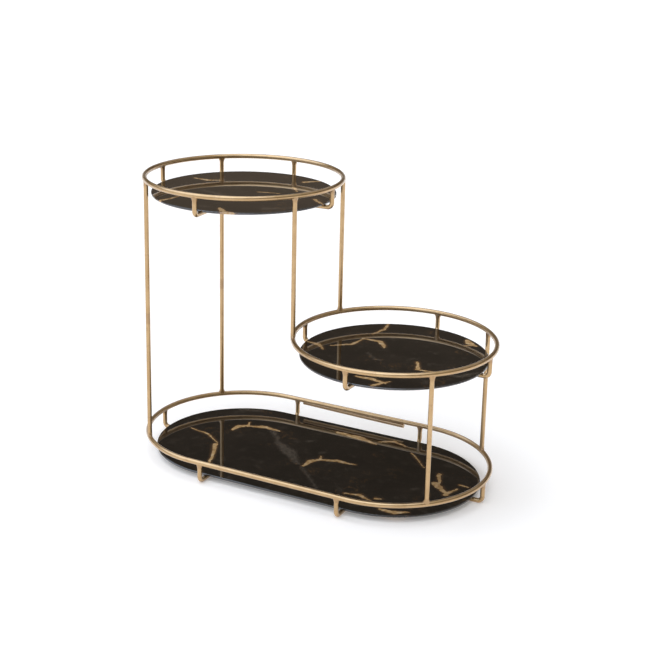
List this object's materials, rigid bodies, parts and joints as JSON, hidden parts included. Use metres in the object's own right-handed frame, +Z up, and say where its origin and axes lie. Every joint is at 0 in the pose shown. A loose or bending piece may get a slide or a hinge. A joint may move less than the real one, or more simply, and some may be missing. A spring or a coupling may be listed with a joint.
{
  "type": "tiered cake stand",
  "caption": "Wire serving stand with two offset round tiers over an oval base, each carrying a loose flat marbled tray on inward hooks.",
  "frame": {"origin": "on the surface that the stand rests on, under the middle of the base", "axes": "+X along the base towards the lower upper tier, +Y towards the back, +Z up"},
  "size_m": [0.4078, 0.2244, 0.3213],
  "materials": {
    "gold_wire": "champagne gold plating, satin to glossy",
    "marbled_gloss": "polished black marble look with gold and smoky grey veins"
  },
  "bodies": {
    "frame": {"top_rail": "gold_wire", "middle_rail": "gold_wire", "base_rail": "gold_wire", "base_rail_lap": "gold_wire", "post_left_front": "gold_wire", "post_left_back": "gold_wire", "post_middle_front": "gold_wire", "post_middle_back": "gold_wire", "post_right_front": "gold_wire", "post_right_back": "gold_wire", "top_hook_right": "gold_wire", "top_hook_back": "gold_wire", "top_hook_left": "gold_wire", "top_hook_front": "gold_wire", "middle_hook_right": "gold_wire", "middle_hook_back": "gold_wire", "middle_hook_left": "gold_wire", "middle_hook_front": "gold_wire", "base_hook_right": "gold_wire", "base_hook_left": "gold_wire", "base_hook_front_left": "gold_wire", "base_hook_front_right": "gold_wire", "base_hook_back_left": "gold_wire", "base_hook_back_right": "gold_wire"},
    "top_plate": {"top_tray": "marbled_gloss"},
    "middle_plate": {"middle_tray": "marbled_gloss"},
    "base_plate": {"base_tray": "marbled_gloss"}
  },
  "joints": [
    {"name": "top_tray_lift", "type": "slide", "parent": "frame", "child": "top_plate", "axis": [0, 0, 1], "range_m": [0, 0.06]},
    {"name": "middle_tray_lift", "type": "slide", "parent": "frame", "child": "middle_plate", "axis": [0, 0, 1], "range_m": [0, 0.06]},
    {"name": "base_tray_lift", "type": "slide", "parent": "frame", "child": "base_plate", "axis": [0, 0, 1], "range_m": [0, 0.06]}
  ]
}
